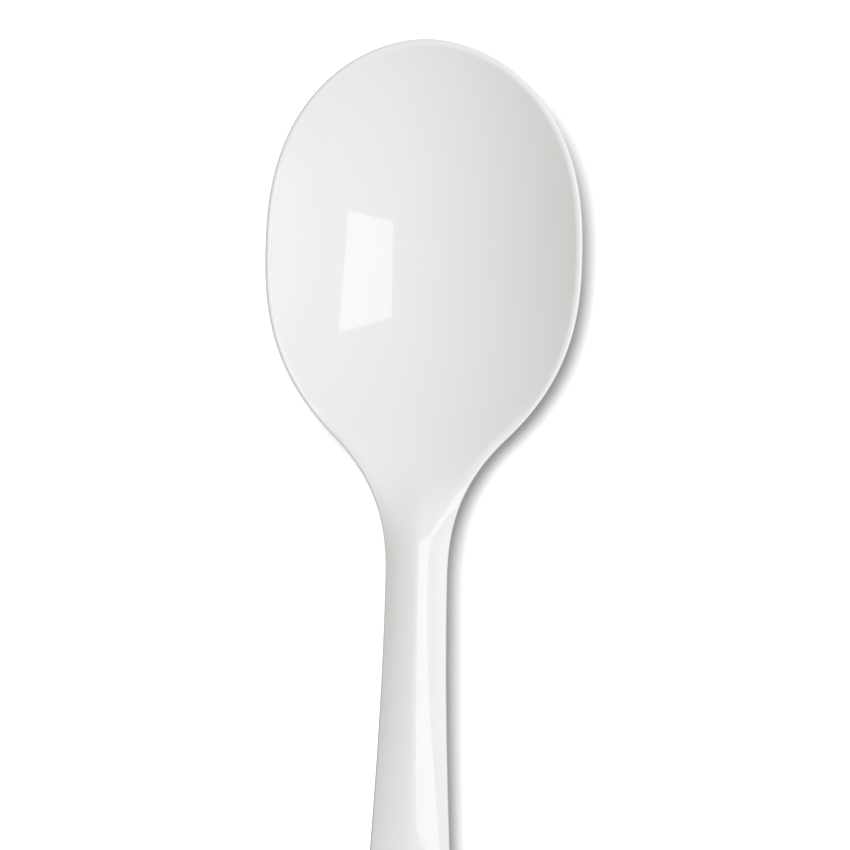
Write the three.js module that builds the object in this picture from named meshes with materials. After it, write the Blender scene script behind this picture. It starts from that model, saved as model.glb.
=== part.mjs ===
// A soup spoon moulded in white plastic, lying on a table with its hollow up.
// The frame has +Y towards the tip of the bowl, +X across and +Z up, and its origin is on the table
// under the middle of the spoon. The real spoon is one moulding, and its bowl, neck and handle are
// modelled as solids that meet face to face across it.
import * as THREE from "three";
import { mergeVertices } from "three/addons/utils/BufferGeometryUtils.js";

// Lengths along the spoon, in millimetres, in order from the tip of the bowl.
const TIP_LENGTH = 28.7; // tip to the widest line of the bowl
const SHOULDER_LENGTH = 23.9; // widest line to the shoulder, where the outline turns hollow
const NECK_LENGTH = 18.6; // shoulder to the waist, the narrowest line
const HANDLE_LENGTH = 62.8; // waist to the start of the rounded end
const END_LENGTH = 12; // the rounded end

// Widths of the outline.
const BOWL_WIDTH = 42.1; // at the widest line
const SHOULDER_WIDTH = 23.2; // at the shoulder
const WAIST_WIDTH = 8.2; // at the waist
const HANDLE_WIDTH = 13.8; // where the rounded end starts
const SHOULDER_TAPER = 1.02; // half width lost per millimetre of length at the shoulder
const HANDLE_FLARE = 0.06; // half width gained per millimetre of length near the handle's end
const TIP_POWER = 2.47; // 2 makes the tip an ellipse, and more makes its sides fuller
const TIP_BLUNTNESS = 1.88; // 2 makes the tip an ellipse, and less narrows it near its end
const END_POWER = 2.4; // the same two for the handle's end
const END_BLUNTNESS = 2.4;

// The dish of the bowl.
const BOWL_DEPTH = 9; // rim to the deepest point, inside
const DEEPEST_LENGTH = 26.3; // tip to the deepest point
const HEEL_OFFSET = 10.9; // shoulder to the heel, where the dish has eased out into the neck
const WALL_STEEPNESS = 0.1; // 0 makes the dish a parabola, and more makes its walls steeper

// The arch of the handle: two crowned slopes that meet in a soft ridge.
const ARCH_HEIGHT = 2.55; // ridge above the line of the rim, where the arch is full
const ARCH_END_HEIGHT = 1.2; // the same at the handle's end
const ARCH_RUN = 13; // length over which the arch rises out of the dish
const ARCH_LEAD = 1.5; // from the middle of that length on to the heel
const RIDGE_SHARE = 0.29; // share of the arch that falls straight from the ridge
const CROWN_SHARE = 0.45; // share that falls in a crown, and what is left raises the edges
const RIDGE_SOFTNESS = 0.09; // width of the ridge's rounding, as a share of the half width
const HOLLOW_SOFTNESS = 0.35; // the same for the hollow under the ridge

// The roll of the edge: a strip along it that turns down, most of all at the shoulders.
const ROLL_WIDTH = 1.8; // width of the strip, straight across the spoon
const ROLL_HEIGHT = 0.6; // how far the edge falls where it rolls over most
const HANDLE_ROLL_HEIGHT = 0.14; // how far it falls along the handle
const ROLL_OFFSET = 0.4; // shoulder to the line where the edge rolls over most
const ROLL_RUN = 9; // length over which the roll grows, and over which it eases

// The sweep of the rim and of the line that carries it on along the handle, seen from the side.
const TIP_LIFT = 0.09; // steepness of the bowl's rim, which rises towards the tip
const CREST_OFFSET = 8.8; // waist to the crest, the highest line of the handle
const CREST_RISE = 0.2; // that line at the crest, above the end of the rim's straight stretch
const RISE_LENGTH = 36.1; // length from that end to the crest
const END_FALL = 0.3; // steepness of the handle at its end

// Walls.
const TIP_WALL = 0.8; // at the tip of the bowl
const BOWL_WALL = 0.95; // at the deepest point
const NECK_WALL = 1.9; // at the waist
const HANDLE_WALL = 1.4; // where the rounded end starts
const BOWL_FOOT = 0.25; // how much the table flattens the underside of the bowl, to stand steady
const END_FOOT = 0.75; // how much it flattens the underside of the handle's end

// The edge all round, between the upper face and the underside.
const LIP_RADIUS = 0.6; // from the wall of the dish to the top of its lip
const CORNER_RADIUS = 0.2; // from there, or from the arch, to the side, and from the side to the underside
const SIDE_DRAFT = 0.08; // how far the side leans out from its top to its foot

// How finely the surfaces are faceted.
const TIP_ROWS = 18;
const BOWL_ROWS = 15;
const NECK_ROWS = 12;
const HANDLE_ROWS = 14;
const END_ROWS = 10;
const SKIN_POINTS = 13; // across half of the upper face, and half of the underside
const LIP_POINTS = 5; // over the lip
const CORNER_POINTS = 3; // round the corner below the side
const EDGE_CROWDING = 0.35; // 0 spaces the points evenly, and more draws them towards the edge

const PLASTIC_COLOR = 0xebeae9;
const PLASTIC_ROUGHNESS = 0.12;

// Stations: distances from the tip.
const WIDEST = TIP_LENGTH;
const SHOULDER = WIDEST + SHOULDER_LENGTH;
const WAIST = SHOULDER + NECK_LENGTH;
const END_START = WAIST + HANDLE_LENGTH;
const OVERALL_LENGTH = END_START + END_LENGTH;
const DEEPEST = DEEPEST_LENGTH;
const HEEL = SHOULDER + HEEL_OFFSET;
const CREST = WAIST + CREST_OFFSET;
const ROLL_LINE = SHOULDER + ROLL_OFFSET;
const RIM_END = CREST - RISE_LENGTH; // where the rim leaves its straight line

const PROBE = 0.01; // step over which a slope is measured

// A smooth run through knots of [station, value, slope], straight before the first and after the last.
function smoothRun(knots) {
  return (station) => {
    const [first, last] = [knots[0], knots[knots.length - 1]];
    if (station <= first[0]) return first[1] + first[2] * (station - first[0]);
    if (station >= last[0]) return last[1] + last[2] * (station - last[0]);
    const next = knots.findIndex((knot) => knot[0] > station);
    const [from, fromValue, fromSlope] = knots[next - 1];
    const [to, toValue, toSlope] = knots[next];
    const length = to - from;
    const t = (station - from) / length;
    const eased = t * t * (3 - 2 * t);
    return (
      fromValue * (1 - eased) +
      toValue * eased +
      length * t * (1 - t) * (fromSlope * (1 - t) - toSlope * t)
    );
  };
}

const sideRun = smoothRun([
  [WIDEST, BOWL_WIDTH / 2, 0],
  [SHOULDER, SHOULDER_WIDTH / 2, -SHOULDER_TAPER],
  [WAIST, WAIST_WIDTH / 2, 0],
  [END_START, HANDLE_WIDTH / 2, HANDLE_FLARE],
]);
const archHeight = smoothRun([
  [HEEL - ARCH_LEAD - ARCH_RUN / 2, 0, 0],
  [HEEL - ARCH_LEAD + ARCH_RUN / 2, ARCH_HEIGHT, 0],
  [OVERALL_LENGTH, ARCH_END_HEIGHT, 0],
]);
const rollHeight = smoothRun([
  [ROLL_LINE - ROLL_RUN, 0, 0],
  [ROLL_LINE, ROLL_HEIGHT, 0],
  [ROLL_LINE + ROLL_RUN, HANDLE_ROLL_HEIGHT, 0],
]);
const wall = smoothRun([
  [0, TIP_WALL, 0],
  [DEEPEST, BOWL_WALL, 0],
  [WAIST, NECK_WALL, 0],
  [END_START, HANDLE_WALL, 0],
]);

// How far a rounded end has closed, as a share of the half width where it starts.
function roundedShare(share, power, bluntness) {
  return Math.pow(Math.max(1 - Math.pow(share, power), 0), 1 / bluntness);
}

// Half width of the outline at a station.
function halfWidth(station) {
  const [beforeWidest, pastEnd] = [(WIDEST - station) / TIP_LENGTH, (station - END_START) / END_LENGTH];
  if (beforeWidest > 0) return (BOWL_WIDTH / 2) * roundedShare(beforeWidest, TIP_POWER, TIP_BLUNTNESS);
  if (pastEnd > 0) return sideRun(station) * roundedShare(pastEnd, END_POWER, END_BLUNTNESS);
  return sideRun(station);
}

// Depth of the dish on the centreline as a share of the full depth: 1 where it is deepest, 0 at the tip,
// and easing out to 0 at the heel.
function dishShare(station) {
  if (station < DEEPEST) return 1 - ((DEEPEST - station) / DEEPEST) ** 2;
  return Math.max(1 - ((station - DEEPEST) / (HEEL - DEEPEST)) ** 2, 0) ** 2;
}

// The table touches the underside of the bowl below the lowest point of the dish, which sets the rim.
const lowestDish = Math.min(
  ...steps(0, RIM_END, 200).map((station) => TIP_LIFT * (RIM_END - station) - BOWL_DEPTH * dishShare(station))
);
const RIM_HEIGHT = BOWL_WALL - BOWL_FOOT - lowestDish;
const rimHeight = smoothRun([
  [RIM_END, RIM_HEIGHT, -TIP_LIFT],
  [CREST, RIM_HEIGHT + CREST_RISE, 0],
  [OVERALL_LENGTH, HANDLE_WALL - END_FOOT, -END_FALL],
]);

// Fall of the arch from its ridge, 0, towards its edges, as a share of its height.
function archFall(across, softness) {
  const ridge = (Math.hypot(across, softness) - softness) / (Math.hypot(1, softness) - softness);
  return RIDGE_SHARE * ridge + CROWN_SHARE * across * across;
}

// Fall of the upper face where the edge rolls over.
function rollFall(point) {
  const inset = halfWidth(point.y) - Math.abs(point.x);
  return rollHeight(point.y) * Math.max(1 - inset / ROLL_WIDTH, 0) ** 2;
}

// Height of the upper face over a plan point, whose x is across and whose y is the station.
function upperFace(point, softness = RIDGE_SOFTNESS) {
  const inside = 1 - Math.min(Math.abs(point.x) / halfWidth(point.y), 1) ** 2;
  const fill = inside * dishShare(point.y);
  const dish = BOWL_DEPTH * fill * (1 + WALL_STEEPNESS * (1 - fill));
  const endShare = Math.max(point.y - END_START, 0) / END_LENGTH;
  const across = Math.sqrt(Math.max(1 - inside * (1 - endShare ** 2), 0));
  const arch = archHeight(point.y) * (1 - archFall(across, softness));
  return rimHeight(point.y) - dish + arch - rollFall(point);
}

// Height of the underside: it follows the upper face with a softer ridge, the wall is measured square
// to it, and the table cuts it flat.
function underside(point) {
  const slope = (dx, dy) => {
    const ahead = upperFace(new THREE.Vector2(point.x + dx, point.y + dy), HOLLOW_SOFTNESS);
    const behind = upperFace(new THREE.Vector2(point.x - dx, point.y - dy), HOLLOW_SOFTNESS);
    return (ahead - behind) / (2 * PROBE);
  };
  const steepness = Math.hypot(1, slope(PROBE, 0), slope(0, PROBE));
  return Math.max(upperFace(point, HOLLOW_SOFTNESS) - wall(point.y) * steepness, 0);
}

// A section runs straight from a point on the centreline to a point on the outline, which it meets
// square. It is given by those two plan points.
function straightSection(station) {
  return [new THREE.Vector2(0, station), new THREE.Vector2(halfWidth(station), station)];
}

// A section of the bowl's tip (direction -1) or of the handle's end (direction 1), at a share of the
// turn from straight across, 0, to straight along, 1.
function turnedSection(start, length, power, direction, share) {
  const turn = (share * Math.PI) / 2;
  const reach = length * Math.pow(Math.sin(turn), 2 / power);
  const width = share < 1 ? halfWidth(start + direction * reach) : 0;
  const drawnIn = Math.max(1 - (halfWidth(start) / length) ** 2, 0);
  return [
    new THREE.Vector2(0, start + direction * reach * drawnIn),
    new THREE.Vector2(width, start + direction * reach),
  ];
}

// Half of a section's closed outline: out along the upper face, over the lip, down the side and back
// underneath. The lip is an arc up the wall of the dish, if there is one, and a tighter arc to the side.
function halfLoop([centre, edge]) {
  const span = centre.distanceTo(edge);
  const plan = (distance) => centre.clone().lerp(edge, distance / span);
  const at = (distance, height) => {
    const { x, y } = plan(distance);
    return new THREE.Vector3(x, OVERALL_LENGTH / 2 - y, Math.max(height, 0));
  };
  const tiltOf = (face, distance) => {
    const rise = face(plan(distance + PROBE)) - face(plan(distance - PROBE));
    return Math.atan2(rise, 2 * PROBE);
  };
  const spread = (share) => share * (1 + EDGE_CROWDING * (1 - share));

  const lipMiddle = span - SIDE_DRAFT - CORNER_RADIUS;
  const startRadius = (tilt) => (tilt > 0 ? LIP_RADIUS : CORNER_RADIUS);
  const lipStart = (tilt) => lipMiddle - startRadius(tilt) * Math.sin(tilt);
  const tilt = tiltOf(upperFace, lipStart(tiltOf(upperFace, lipMiddle)));
  const upperEnd = lipStart(tilt);
  const lipTop = upperFace(plan(upperEnd)) + startRadius(tilt) * (1 - Math.cos(tilt));

  const cornerMiddle = span - CORNER_RADIUS;
  const lowerTilt = tiltOf(underside, cornerMiddle);
  const lowerEnd = cornerMiddle + CORNER_RADIUS * Math.sin(lowerTilt);
  const cornerHeight = underside(plan(lowerEnd)) + CORNER_RADIUS * Math.cos(lowerTilt);

  const points = steps(0, 1, SKIN_POINTS).map((share) => {
    const distance = upperEnd * spread(share);
    return at(distance, upperFace(plan(distance)));
  });
  for (const angle of steps(tilt + Math.PI / 2, 0, LIP_POINTS).slice(1)) {
    const radius = startRadius(angle - Math.PI / 2);
    points.push(at(lipMiddle + radius * Math.cos(angle), lipTop - radius * (1 - Math.sin(angle))));
  }
  for (const angle of steps(0, lowerTilt - Math.PI / 2, CORNER_POINTS)) {
    const height = cornerHeight + CORNER_RADIUS * Math.sin(angle);
    points.push(at(cornerMiddle + CORNER_RADIUS * Math.cos(angle), height));
  }
  for (const share of steps(1, 0, SKIN_POINTS).slice(1)) {
    const distance = lowerEnd * spread(share);
    points.push(at(distance, underside(plan(distance))));
  }
  return points;
}

// A section's whole outline: its half and the mirror image of that, from the upper middle round.
function wholeLoop(section) {
  const right = halfLoop(section);
  const left = right
    .slice(1, -1)
    .reverse()
    .map((point) => new THREE.Vector3(-point.x, point.y, point.z));
  return [...right, ...left];
}

// Closes an end of a loft whose loop lies in one plane across the spoon.
function capFaces(loop, first) {
  const flat = loop.map((point) => new THREE.Vector2(point.x, point.z));
  return THREE.ShapeUtils.triangulateShape(flat, []).map((face) => face.map((index) => first + index));
}

// A closed solid through sections in order from the tip's side to the handle's. A section on the
// centreline closes the skin on itself, and any other end gets a flat cap.
function loft(sections) {
  const loops = sections.map(wholeLoop);
  const count = loops[0].length;
  const faces = [];
  for (let row = 0; row + 1 < loops.length; row++) {
    for (let i = 0; i < count; i++) {
      const a = row * count + i;
      const b = row * count + ((i + 1) % count);
      const [c, d] = [b + count, a + count];
      if (i < count / 2) faces.push([a, c, b], [a, d, c]);
      else faces.push([a, d, b], [b, d, c]);
    }
  }
  const closesItself = (section) => section[1].x === 0;
  const lastRow = (loops.length - 1) * count;
  if (!closesItself(sections[0])) {
    capFaces(loops[0], 0).forEach(([a, b, c]) => faces.push([a, c, b]));
  }
  if (!closesItself(sections[sections.length - 1])) {
    faces.push(...capFaces(loops[loops.length - 1], lastRow));
  }
  const geometry = new THREE.BufferGeometry().setFromPoints(loops.flat());
  geometry.setIndex(faces.flat());
  const welded = mergeVertices(geometry);
  welded.computeVertexNormals();
  return welded;
}

// Evenly spaced values from the first to the last, both included.
function steps(first, last, count) {
  return Array.from({ length: count + 1 }, (_, i) => first + ((last - first) * i) / count);
}

function plasticMesh(name, geometry) {
  const plastic = new THREE.MeshStandardMaterial({
    color: PLASTIC_COLOR,
    roughness: PLASTIC_ROUGHNESS,
    metalness: 0,
  });
  const mesh = new THREE.Mesh(geometry, plastic);
  mesh.name = name;
  return mesh;
}

// The bowl: a thin dish with a rounded lip, from the tip to the heel, where the arch is already rising.
function makeBowl() {
  const tip = steps(1, 0, TIP_ROWS).map((share) => turnedSection(WIDEST, TIP_LENGTH, TIP_POWER, -1, share));
  const sides = steps(WIDEST, HEEL, BOWL_ROWS).slice(1).map(straightSection);
  return plasticMesh("bowl", loft([...tip, ...sides]));
}

// The neck: the narrow stretch in which the arch reaches its full height, from the heel to the crest.
function makeNeck() {
  return plasticMesh("neck", loft(steps(HEEL, CREST, NECK_ROWS).map(straightSection)));
}

// The handle: the ridged arch, hollow underneath, from the crest to the rounded end.
function makeHandle() {
  const arch = steps(CREST, END_START, HANDLE_ROWS).map(straightSection);
  const end = steps(0, 1, END_ROWS)
    .slice(1)
    .map((share) => turnedSection(END_START, END_LENGTH, END_POWER, 1, share));
  return plasticMesh("handle", loft([...arch, ...end]));
}

const spoon = new THREE.Group();
spoon.name = "soup_spoon";
spoon.add(makeBowl(), makeNeck(), makeHandle());

export default spoon;
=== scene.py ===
import math

import bmesh
import bpy
import numpy as np
from mathutils import Matrix, Vector


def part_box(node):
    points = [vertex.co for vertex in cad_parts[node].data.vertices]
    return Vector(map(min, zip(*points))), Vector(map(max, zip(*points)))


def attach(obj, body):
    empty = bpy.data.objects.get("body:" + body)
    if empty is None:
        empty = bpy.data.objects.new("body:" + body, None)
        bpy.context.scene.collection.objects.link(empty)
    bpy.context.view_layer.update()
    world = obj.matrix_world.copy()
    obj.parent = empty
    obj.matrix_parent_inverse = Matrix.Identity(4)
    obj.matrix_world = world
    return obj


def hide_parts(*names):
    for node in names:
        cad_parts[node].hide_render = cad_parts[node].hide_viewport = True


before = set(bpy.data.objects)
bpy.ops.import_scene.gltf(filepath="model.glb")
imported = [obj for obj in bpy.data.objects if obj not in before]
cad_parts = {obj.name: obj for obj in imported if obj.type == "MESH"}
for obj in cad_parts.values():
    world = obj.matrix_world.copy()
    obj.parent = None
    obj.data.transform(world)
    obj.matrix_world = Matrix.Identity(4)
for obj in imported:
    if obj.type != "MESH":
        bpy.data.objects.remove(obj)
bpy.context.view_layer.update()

scene = bpy.context.scene
scene.view_settings.view_transform = "Standard"

# The camera looks down on the spoon through a long lens, a few degrees from the handle's side. It is
# turned a little, so that the tip leans right, and the handle runs out at the foot of the picture.
image_side = 850                    # pixels
metres_per_pixel = 0.0001325        # at the height of the rim
lens_mm = 400.0
sensor_mm = 36.0
lean = math.radians(1.33)
pitch = math.radians(4.0)
tip_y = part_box("bowl")[1].y
aim = Vector((0.00069, tip_y - 0.05125, 0.00975))  # seen in the middle of the picture

sight = Matrix.Rotation(lean, 3, "Z") @ Matrix.Rotation(pitch, 3, "X")
camera_distance = image_side * metres_per_pixel * lens_mm / sensor_mm
camera_data = bpy.data.cameras.new("camera")
camera_data.lens = lens_mm
camera_data.sensor_width = sensor_mm
camera = bpy.data.objects.new("camera", camera_data)
camera.location = aim + sight @ Vector((0, 0, camera_distance))
camera.rotation_euler = sight.to_euler()
scene.collection.objects.link(camera)
scene.camera = camera

# The spoon is one injection moulding in glossy white polystyrene. A thin egg-shaped dish with a round
# lip eases out into a narrow neck and an arched handle, softly ridged above and hollow below.
# Stations run along the spoon from its tip, and all sizes are in metres.
widest = 0.0287                     # widest line of the bowl
shoulder = 0.0526                   # where the outline turns hollow
waist = 0.0712                      # narrowest line
length = tip_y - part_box("handle")[0].y
end_start = length - 0.012          # where the rounded end starts
deepest = 0.0263                    # deepest point of the dish below its rim
heel = tip_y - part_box("bowl")[0].y  # where the dish has eased out
crest = tip_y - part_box("neck")[0].y  # highest line of the handle
rim_end = crest - 0.0361            # where the rim leaves its straight line

bowl_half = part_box("bowl")[1].x     # half widths of the outline
shoulder_half = 0.0116
waist_half = 0.0041
handle_half = 0.0069
shoulder_taper = 1.02               # half width lost per length at the shoulder
handle_flare = 0.06                 # half width gained per length near the handle's end
tip_power, tip_bluntness = 2.47, 1.88
end_power, end_bluntness = 2.4, 2.4

bowl_depth = 0.009
wall_steepness = 0.1                # how much the dish bulges between its rim and its floor
arch_height = 0.00255               # ridge above the line of the rim
arch_end_height = 0.0012
arch_middle = heel - 0.0015         # where the arch has half risen
arch_run = 0.0065                   # length over which it rises, each way
arch_start = arch_middle - arch_run
arch_stop = arch_middle + arch_run
ridge_share, crown_share = 0.29, 0.45  # of the arch, lost from the ridge to the edge
ridge_softness = 0.09               # share of the half width over which the ridge is rounded
hollow_softness = 0.35              # and the same for the hollow below it
roll_width = 0.0018                 # strip along the edge that turns down
roll_line = shoulder + 0.0004       # where it turns down most
roll_run = 0.009                    # length over which the roll grows, and over which it eases
roll_height = 0.0006                # how far the edge falls there
handle_roll_height = 0.00014        # how far it falls along the handle

tip_wall = 0.0008
bowl_wall = 0.00095
neck_wall = 0.0019
handle_wall = 0.0014
bowl_foot = 0.00025                 # how much the table flattens the underside
end_foot = 0.00075
tip_lift = 0.09                     # rise of the rim per length towards the tip
crest_rise = 0.0002                 # rim of the crest above the end of the straight rim
end_fall = 0.3                      # fall per length at the handle's end

lip_radius = 0.00095                # from the wall of the dish to the top of its lip
corner_radius = 0.00026             # from there, or from the arch, to the side
side_draft = 0.00008                # how far the side leans out from its top to its foot
parting_proud = 0.00003             # fine line round the side where the halves of the mould meet
pin_stations = (0.0905, 0.1075, 0.1245)  # round marks under the handle where pins pushed it out
pin_radius = 0.0019
pin_depth = 0.00009
pin_edge = 0.0004                   # width over which a mark's edge falls


def smooth_run(station, *knots):
    """A cubic through knots of (station, value, slope), straight before the first and after the last."""
    first, last = knots[0], knots[-1]
    before = first[1] + first[2] * (station - first[0])
    value = np.where(station < first[0], before, last[1] + last[2] * (station - last[0]))
    for (start, start_value, start_slope), (stop, stop_value, stop_slope) in zip(knots, knots[1:]):
        t = (station - start) / (stop - start)
        eased = t * t * (3 - 2 * t)
        bend = (stop - start) * t * (1 - t) * (start_slope * (1 - t) - stop_slope * t)
        inside = (t >= 0) & (t <= 1)
        value = np.where(inside, start_value * (1 - eased) + stop_value * eased + bend, value)
    return value


def rounded_share(share, power, bluntness):
    """Share of the width that is left, at a share of the way into a rounded end."""
    return np.maximum(1 - np.clip(share, 0, 1) ** power, 0) ** (1 / bluntness)


def half_width(station):
    """Half the width of the outline."""
    sides = smooth_run(
        station,
        (widest, bowl_half, 0),
        (shoulder, shoulder_half, -shoulder_taper),
        (waist, waist_half, 0),
        (end_start, handle_half, handle_flare),
    )
    tip = rounded_share((widest - station) / widest, tip_power, tip_bluntness)
    end = rounded_share((station - end_start) / (length - end_start), end_power, end_bluntness)
    return sides * tip * end


def wall(station):
    """Thickness of the wall, least at the tip and most at the waist."""
    return smooth_run(
        station, (0, tip_wall, 0), (deepest, bowl_wall, 0), (waist, neck_wall, 0), (end_start, handle_wall, 0)
    )


def dish_share(station):
    """Share of the dish's depth on the centreline, none at the tip and from the heel on."""
    ahead = 1 - ((deepest - station) / deepest) ** 2
    behind = np.maximum(1 - ((station - deepest) / (heel - deepest)) ** 2, 0) ** 2
    return np.where(station < deepest, ahead, behind)


dish_samples = 201
dish_line = np.linspace(0, rim_end, dish_samples)
lowest_dish = np.min(tip_lift * (rim_end - dish_line) - bowl_depth * dish_share(dish_line))
rim = bowl_wall - bowl_foot - lowest_dish  # height of the rim where it leaves its straight line
least_half = 1e-9                   # keeps a share of the width finite at the very tip and end
probe = 0.00001                     # step over which a slope is measured


def upper_face(x, station, softness=ridge_softness):
    """Height of the dish, the neck and the arched handle over a plan point."""
    inside = 1 - np.minimum(np.abs(x) / np.maximum(half_width(station), least_half), 1) ** 2
    fill = inside * dish_share(station)
    dish = bowl_depth * fill * (1 + wall_steepness * (1 - fill))
    end_share = np.clip((station - end_start) / (length - end_start), 0, 1)
    across = np.sqrt(np.maximum(1 - inside * (1 - end_share**2), 0))
    ridge = (np.hypot(across, softness) - softness) / (np.hypot(1, softness) - softness)
    fall = ridge_share * ridge + crown_share * across**2
    arch = smooth_run(station, (arch_start, 0, 0), (arch_stop, arch_height, 0), (length, arch_end_height, 0))
    rim_line = smooth_run(
        station,
        (rim_end, rim, -tip_lift),
        (crest, rim + crest_rise, 0),
        (length, handle_wall - end_foot, -end_fall),
    )
    strip = np.maximum(1 - (half_width(station) - np.abs(x)) / roll_width, 0)
    roll = smooth_run(
        station,
        (roll_line - roll_run, 0, 0),
        (roll_line, roll_height, 0),
        (roll_line + roll_run, handle_roll_height, 0),
    )
    return rim_line - dish + arch * (1 - fall) - roll * strip**2


def underside(x, station):
    """Height of the lower skin, a wall away square to the upper face and cut flat by the table."""
    def core(x, station):
        return upper_face(x, station, hollow_softness)
    across = (core(x + probe, station) - core(x - probe, station)) / (2 * probe)
    along = (core(x, station + probe) - core(x, station - probe)) / (2 * probe)
    steep = np.sqrt(1 + across**2 + along**2)
    lower = core(x, station) - wall(station) * steep
    for pin_station in pin_stations:
        inset = pin_radius - np.hypot(x, station - pin_station)
        lower = lower + pin_depth * np.clip(inset / pin_edge, 0, 1)
    return np.maximum(lower, 0)


# Sections run from the centreline to the outline, straight across along most of the spoon. Round the
# tip and the handle's end they are fanned, so that they meet the outline nearly square.
tip_rows, bowl_rows, neck_rows, handle_rows, end_rows = 64, 60, 52, 150, 36


def fanned(start, stop, half, power, shares):
    """Stations where a fan's sections leave the centreline, and where they reach the outline."""
    turn = np.asarray(shares) * math.pi / 2
    edge = start + (stop - start) * np.sin(turn) ** (2 / power)
    drawn_in = max(1 - (half / (stop - start)) ** 2, 0)
    return start + (edge - start) * drawn_in, edge


tip_fan = fanned(widest, 0, bowl_half, tip_power, np.linspace(1, 0, tip_rows, endpoint=False))
end_fan = fanned(end_start, length, handle_half, end_power, np.linspace(0, 1, end_rows + 1)[1:])
straight = np.concatenate([
    np.linspace(widest, heel, bowl_rows, endpoint=False),
    np.linspace(heel, crest, neck_rows, endpoint=False),
    np.linspace(crest, end_start, handle_rows + 1),
])
centre_station = np.concatenate([tip_fan[0], straight, end_fan[0]])[:, None]
edge_station = np.concatenate([tip_fan[1], straight, end_fan[1]])[:, None]
edge_x = half_width(edge_station)
edge_x[[0, -1]] = 0
span = np.hypot(edge_x, edge_station - centre_station)


def plan(distance):
    """Plan points at a distance from the centreline along each section."""
    share = distance / span
    return edge_x * share, centre_station + (edge_station - centre_station) * share


def tilt_of(face, distance):
    """Angle at which a face rises outwards along each section."""
    return np.arctan((face(*plan(distance + probe)) - face(*plan(distance - probe))) / (2 * probe))


def lip_arc(tilt):
    """Radius of the lip: wide where it comes up the wall of the dish, tight where it turns to the side."""
    return np.where(tilt > 0, lip_radius, corner_radius)


# Each section goes out over the upper face, over the lip, down the side and back underneath.
skin_points, lip_points, corner_points = 48, 20, 8
edge_crowding = 0.3                 # how much closer the points stand near the edge
parting_shares = np.array([0.45, 0.5, 0.55])  # of the way down the side
parting_line = parting_proud * np.array([0, 1, 0])
weld_distance = 1e-7
lip_middle = span - side_draft - corner_radius
tilt = tilt_of(upper_face, lip_middle)
tilt = tilt_of(upper_face, lip_middle - lip_arc(tilt) * np.sin(tilt))
upper_end = lip_middle - lip_arc(tilt) * np.sin(tilt)
lip_top = upper_face(*plan(upper_end)) + lip_arc(tilt) * (1 - np.cos(tilt))
corner_middle = span - corner_radius
lower_tilt = tilt_of(underside, corner_middle)
lower_end = corner_middle + corner_radius * np.sin(lower_tilt)
corner_height = underside(*plan(lower_end)) + corner_radius * np.cos(lower_tilt)

spread = np.linspace(0, 1, skin_points + 1)
spread = spread * (1 + edge_crowding * (1 - spread))
upper_distance = upper_end * spread
lower_distance = lower_end * spread[-2::-1]
lip_angle = (tilt + math.pi / 2) * (1 - np.linspace(0, 1, lip_points + 1)[1:])
lip_reach = lip_arc(lip_angle - math.pi / 2)
corner_angle = (lower_tilt - math.pi / 2) * np.linspace(0, 1, corner_points + 1)
side_top = lip_top - corner_radius
distance = np.hstack([
    upper_distance,
    lip_middle + lip_reach * np.cos(lip_angle),
    span - side_draft * (1 - parting_shares) + parting_line,
    corner_middle + corner_radius * np.cos(corner_angle),
    lower_distance,
])
height = np.hstack([
    upper_face(*plan(upper_distance)),
    lip_top - lip_reach * (1 - np.sin(lip_angle)),
    side_top + (corner_height - side_top) * parting_shares,
    corner_height + corner_radius * np.sin(corner_angle),
    underside(*plan(lower_distance)),
])
x, station = plan(distance)
right = np.dstack([x, tip_y - station, np.maximum(height, 0)])
left = right[:, -2:0:-1] * (-1, 1, 1)
loops = np.hstack([right, left])
rows, around = loops.shape[:2]
faces = []
for row in range(rows - 1):
    for i in range(around):
        a, b = row * around + i, row * around + (i + 1) % around
        faces.append((a, a + around, b + around, b))

spoon_mesh = bpy.data.meshes.new("spoon")
spoon_mesh.from_pydata(loops.reshape(-1, 3).tolist(), [], faces)
spoon = bpy.data.objects.new("spoon", spoon_mesh)
scene.collection.objects.link(spoon)
mesh = bmesh.new()
mesh.from_mesh(spoon_mesh)
bmesh.ops.remove_doubles(mesh, verts=mesh.verts, dist=weld_distance)
bmesh.ops.recalc_face_normals(mesh, faces=mesh.faces)
mesh.to_mesh(spoon_mesh)
mesh.free()
spoon_mesh.shade_smooth()


class Wire:
    """A value in a shader: a socket of a node tree, with operators that add Math nodes to the tree."""

    def __init__(self, tree, socket=None):
        self.tree = tree
        self.socket = socket

    def node(self, kind, settings=None, sockets=None, output=0):
        """Add a node, with its settings first and then the values or links of its sockets."""
        node = self.tree.nodes.new("ShaderNode" + kind)
        for name, value in (settings or {}).items():
            setattr(node, name, value)
        for name, value in (sockets or {}).items():
            if isinstance(value, Wire):
                self.tree.links.new(value.socket, node.inputs[name])
            else:
                node.inputs[name].default_value = value
        return Wire(self.tree, node.outputs[output] if node.outputs else None)

    def math(self, operation, *values):
        return self.node("Math", {"operation": operation}, dict(enumerate(values)))

    def __add__(self, other):
        return self.math("ADD", self, other)

    def __sub__(self, other):
        return self.math("SUBTRACT", self, other)

    def __rsub__(self, other):
        return self.math("SUBTRACT", other, self)

    def __mul__(self, other):
        return self.math("MULTIPLY", self, other)

    __radd__ = __add__
    __rmul__ = __mul__


def empty_tree(owner):
    """The node tree of a material or world, cleared and ready for new nodes."""
    owner.use_nodes = True
    owner.node_tree.nodes.clear()
    return Wire(owner.node_tree)


first_colour, second_colour, mixed_colour = 6, 7, 2  # sockets of a Mix node that share their names


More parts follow.
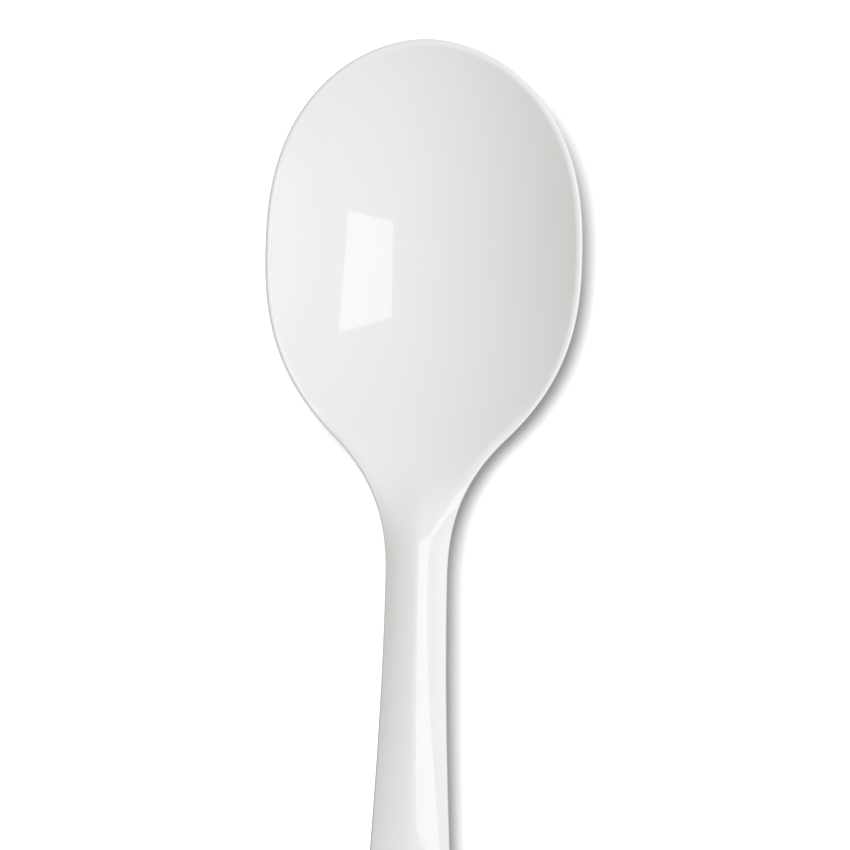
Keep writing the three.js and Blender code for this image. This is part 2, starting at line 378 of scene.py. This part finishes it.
# Glossy white polystyrene: faint clouds in its colour and gloss from the flow of the melt, a slow wave
# and a fine peel in its skin, and a few hairline scratches that only dull the gloss.
white = (0.836, 0.826, 0.824, 1)
white_cloud = (0.822, 0.812, 0.808, 1)
cloud_scale, hair_scale, wave_scale, peel_scale = 60, 260, 90, 1400  # features per metre
hair_level, hair_width = 0.5, 0.004     # a scratch runs where its noise is this near to the level
clear_roughness = 0.035                 # of the best gloss, and what clouds and scratches add to it
cloud_roughness = 0.03
hair_roughness = 0.05
skin_depth = 0.00001                    # of the slow wave
peel_share = 0.04                       # of that, for the fine peel
refractive_index = 1.55
plastic = bpy.data.materials.new("white_plastic")
make = empty_tree(plastic)
place = make.node("TexCoord", output="Object")
clouds = make.node("TexNoise", None, {"Vector": place, "Scale": cloud_scale, "Detail": 3, "Roughness": 0.55})
colour = make.node("Mix", {"data_type": "RGBA"}, {
    "Factor": clouds,
    first_colour: white,
    second_colour: white_cloud,
}, mixed_colour)
hairs = make.node("TexNoise", None, {"Vector": place, "Scale": hair_scale, "Detail": 2, "Distortion": 1.6})
hair = make.node("MapRange", None, {
    "Value": make.math("ABSOLUTE", hairs - hair_level),
    "From Min": 0,
    "From Max": hair_width,
    "To Min": 1,
    "To Max": 0,
})
roughness = clear_roughness + cloud_roughness * clouds + hair_roughness * hair
waves = make.node("TexNoise", None, {"Vector": place, "Scale": wave_scale, "Detail": 1, "Roughness": 0.4})
peel = make.node("TexNoise", None, {"Vector": place, "Scale": peel_scale, "Detail": 2, "Roughness": 0.5})
skin = make.node("Bump", None, {"Distance": skin_depth, "Height": waves + peel_share * peel})
surface = make.node("BsdfPrincipled", None, {
    "Base Color": colour,
    "Roughness": roughness,
    "IOR": refractive_index,
    "Normal": skin,
})
make.node("OutputMaterial", None, {"Surface": surface})

spoon_mesh.materials.append(plastic)
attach(spoon, "root")
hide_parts("bowl", "neck", "handle")

# The floor: a flat sheet of plain white paper that the spoon lies on, which keeps its shadow. The camera
# sees the paper in its own light, and the spoon sees a plain glow from it, weaker under the handle.
floor_side = 6.0
paper_grey = 0.2
paper_glow = (0.183, 0.189, 0.205, 1)   # what the paper keeps in full shadow
glow_handle = (0.3, 0.3, 0.3, 1)        # towards the spoon, under the handle
glow_bowl = (1, 1, 1, 1)                # and under the bowl
glow_way = (0.4, 0.9, 0)                # direction in which the glow grows
glow_reach = 0.035                      # distance over which it grows, each way
bpy.ops.mesh.primitive_plane_add(size=floor_side)
floor = bpy.context.object
floor.name = "floor"
paper = bpy.data.materials.new("paper")
make = empty_tree(paper)
spot = make.node("TexCoord", output="Object")
along = make.node("VectorMath", {"operation": "DOT_PRODUCT"}, {0: spot, 1: glow_way}, "Value")
growth = make.node("MapRange", {"interpolation_type": "SMOOTHSTEP"}, {
    "Value": along,
    "From Min": -glow_reach,
    "From Max": glow_reach,
})
glow = make.node("Mix", {"data_type": "RGBA"}, {
    "Factor": growth,
    first_colour: glow_handle,
    second_colour: glow_bowl,
}, mixed_colour)
glowing = make.node("Emission", None, {"Color": glow, "Strength": 1})
lit = make.node("BsdfPrincipled", None, {
    "Base Color": (paper_grey, paper_grey, paper_grey, 1),
    "Roughness": 1,
    "Specular IOR Level": 0,
    "Emission Color": paper_glow,
    "Emission Strength": 1,
})
seen = make.node("LightPath", output="Is Camera Ray")
make.node("OutputMaterial", None, {"Surface": make.node("MixShader", None, {0: seen, 1: glowing, 2: lit})})
floor.data.materials.append(paper)

# The light: an even room whose shine fades to the left and grows low on the right, a soft box high on the
# right that shines in the plastic, a broad light beside it that only shades it, and a light for the floor.
room_level = 0.58
room_tint = (1, 0.99, 0.93, 1)          # the fill light is a little warm
lamp_tint = (0.91, 0.93, 1)             # and the spoon's lamps are a little cool
shine_left, shine_right = 0.4, 1.0
shine_full = 0.2                        # sideways part of the direction in which the shine is full
shine_wall = 0.7                        # added low on the right, where a white wall stands
wall_top = 0.84                         # sideways part of the direction in which the wall begins
world = bpy.data.worlds.new("room")
scene.world = world
make = empty_tree(world)
bearing = make.node("SeparateXYZ", None, {"Vector": make.node("TexCoord", output="Generated")})
shine = make.node("MapRange", None, {
    "Value": bearing,
    "From Min": -1,
    "From Max": shine_full,
    "To Min": shine_left,
    "To Max": shine_right,
})
shine = shine + make.node("MapRange", None, {
    "Value": bearing,
    "From Min": wall_top,
    "From Max": 1,
    "To Min": 0,
    "To Max": shine_wall,
})
seen = make.node("LightPath", output="Is Camera Ray")
glossy = make.node("LightPath", output="Is Glossy Ray")
through = make.node("LightPath", output="Is Transmission Ray")
mirrored = make.math("MAXIMUM", glossy, through)
level = seen + (1 - seen) * (room_level + mirrored * (shine - room_level))
reflected = make.math("MAXIMUM", seen, mirrored)
colour = make.node("Mix", {"data_type": "RGBA"}, {
    "Factor": reflected,
    first_colour: room_tint,
    second_colour: (1, 1, 1, 1),
}, mixed_colour)
sky = make.node("Background", None, {"Color": colour, "Strength": level})
make.node("OutputWorld", None, {"Surface": sky})

spoon_only = bpy.data.collections.new("spoon_only")
spoon_only.objects.link(spoon)
floor_only = bpy.data.collections.new("floor_only")
floor_only.objects.link(floor)


def soft_box(name, location, across, along, size, radiance):
    """A rectangular lamp that lights only the spoon, by its place, two sides and brightness."""
    lamp_data = bpy.data.lights.new(name, "AREA")
    lamp_data.shape = "RECTANGLE"
    lamp_data.size, lamp_data.size_y = size
    lamp_data.color = lamp_tint
    lamp_data.energy = radiance * math.pi * size[0] * size[1]
    lamp = bpy.data.objects.new(name, lamp_data)
    across, along = Vector(across).normalized(), Vector(along)
    along = (along - across * along.dot(across)).normalized()
    facing = Matrix((across, along, across.cross(along))).transposed()
    lamp.matrix_world = Matrix.Translation(location) @ facing.to_4x4()
    lamp.visible_camera = False
    lamp.light_linking.receiver_collection = spoon_only
    scene.collection.objects.link(lamp)
    return lamp


soft_box(
    "soft_box",
    location=(0.5864, 0.1206, 1.046),
    across=(0.7802, -0.0019, -0.6255),
    along=(-0.069, 0.9936, -0.0891),
    size=(0.563, 0.7085),
    radiance=2.15,
)
broad_light = soft_box(
    "broad_light",
    location=(0.75, -0.1, 1.3),
    across=(0.87, 0, -0.5),
    along=(0, 1, 0.08),
    size=(0.5, 0.5),
    radiance=9.8,
)
broad_light.visible_glossy = False

floor_level = 0.945                     # added to the paper, which is white but for the shadow
floor_light_from = (-0.1665, 0.1074, 1)  # a little left of straight up, and beyond the tip
floor_light_spread = math.radians(22)   # which makes the shadow's border soft
sun_data = bpy.data.lights.new("floor_light", "SUN")
sun_data.energy = floor_level / paper_grey * math.pi
sun_data.angle = floor_light_spread
sun = bpy.data.objects.new("floor_light", sun_data)
sun.rotation_euler = Vector(floor_light_from).to_track_quat("Z", "Y").to_euler()
sun.light_linking.receiver_collection = floor_only
scene.collection.objects.link(sun)
